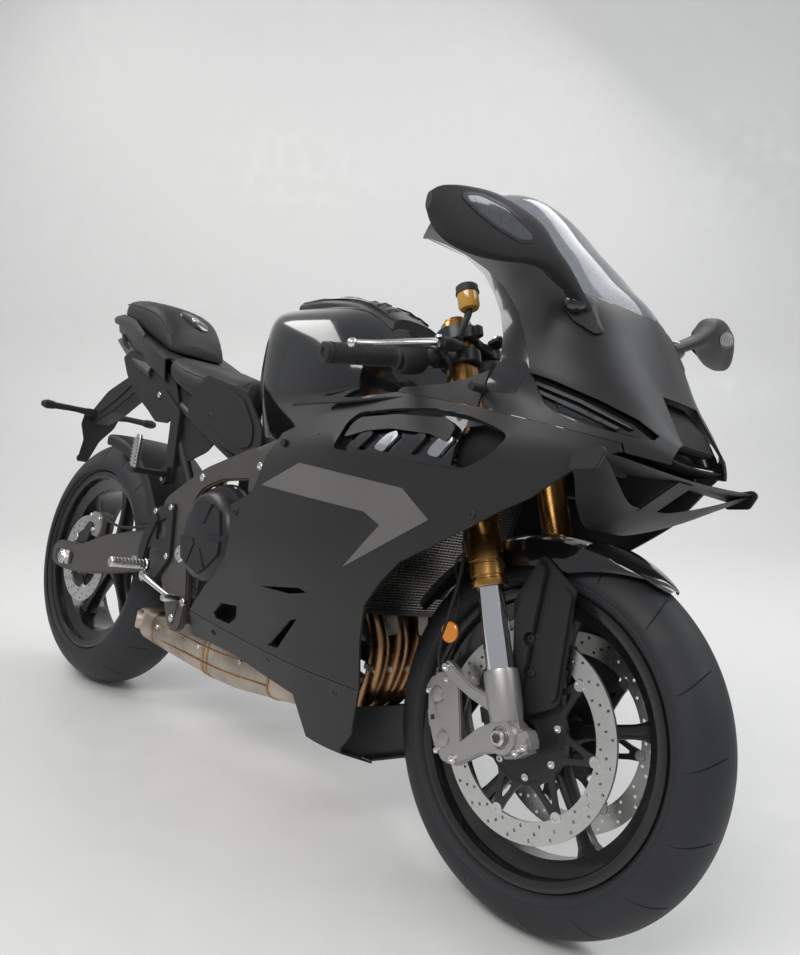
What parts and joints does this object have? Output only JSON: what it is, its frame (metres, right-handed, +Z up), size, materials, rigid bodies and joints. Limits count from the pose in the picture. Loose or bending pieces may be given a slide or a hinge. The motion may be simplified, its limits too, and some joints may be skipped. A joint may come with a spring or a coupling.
{
  "type": "sport bike",
  "caption": "Faired sport motorcycle leaning on its side stand, with turning wheels, steering and a folding stand.",
  "frame": {"origin": "middle of the leaning bike's box, on the floor", "axes": "+X forward along the bike, +Y to the rider's left, the side it leans to, +Z up from the floor"},
  "size_m": [2.052, 0.8639, 1.159],
  "materials": {
    "tyre": "new rubber",
    "rim_black": "satin black",
    "disc_steel": "ground steel",
    "frame_grey": "satin dark grey",
    "cast_grey": "satin grey cast",
    "chrome": "hard chrome and plated steel",
    "gold": "gold anodised",
    "black_metal": "satin black",
    "engine_dark": "dark coated cast",
    "steel_hot": "heat stained steel",
    "chain_steel": "oiled steel",
    "matte_black": "matte black paint",
    "gloss_black": "gloss black",
    "rubber": "grip rubber",
    "cover": "grained vinyl",
    "lens": "clear lens",
    "lens_red": "red lens"
  },
  "bodies": {
    "chassis": {"frame": "frame_grey", "pivot_bolt": "chrome", "engine_block": "engine_dark", "engine_covers": "engine_dark", "radiator": "black_metal", "exhaust_headers": "steel_hot", "exhaust_box": "steel_hot", "swingarm": "frame_grey", "rear_axle": "chrome", "chain": "chain_steel", "rear_caliper": "black_metal", "rear_hugger": "gloss_black", "shock_absorber": "black_metal", "subframe": "black_metal", "tank": "matte_black", "tank_cover": "gloss_black", "rider_seat": "cover", "pillion_pad": "cover", "knee_panels": "matte_black", "tail_cowl": "matte_black", "tail_lamp": "lens_red", "plate_hanger": "gloss_black", "nose_cowl": "matte_black", "windscreen": "lens", "headlamps": "lens", "fairing_left": "matte_black", "fairing_right": "matte_black", "belly_pan": "matte_black", "winglets": "gloss_black", "mirrors": "gloss_black", "rearsets": "black_metal", "fairing_stay": "black_metal", "side_wings": "gloss_black"},
    "steering": {"fork_clamps": "black_metal", "fork_uppers": "gold", "fork_lowers": "cast_grey", "front_axle": "chrome", "front_calipers": "cast_grey", "front_fender": "gloss_black", "handlebars": "black_metal", "grips": "rubber", "bar_controls": "rubber", "brake_hoses": "rubber"},
    "front_wheel": {"front_tyre": "tyre", "front_rim": "rim_black", "front_discs": "disc_steel"},
    "rear_wheel": {"rear_tyre": "tyre", "rear_rim": "rim_black", "rear_disc": "disc_steel", "rear_sprocket": "disc_steel"},
    "side_stand": {"side_stand": "black_metal"}
  },
  "joints": [
    {"name": "steering", "type": "hinge", "parent": "chassis", "child": "steering", "pos_m": [0.49024, -0.0477, 0.77484], "axis": [-0.3843, 0.1998, 0.9013], "range_deg": [-27, 27]},
    {"name": "front_wheel_spin", "type": "hinge", "parent": "steering", "child": "front_wheel", "pos_m": [0.726, -0.15423, 0.29431], "axis": [0, 0.9763, -0.2164], "continuous": true},
    {"name": "rear_wheel_spin", "type": "hinge", "parent": "chassis", "child": "rear_wheel", "pos_m": [-0.694, -0.15082, 0.30967], "axis": [0, 0.9763, -0.2164], "continuous": true},
    {"name": "side_stand_fold", "type": "hinge", "parent": "chassis", "child": "side_stand", "pos_m": [-0.134, 0.0233, 0.24034], "axis": [0.0386, 0.9417, 0.3343], "range_deg": [0, 93.3]}
  ]
}
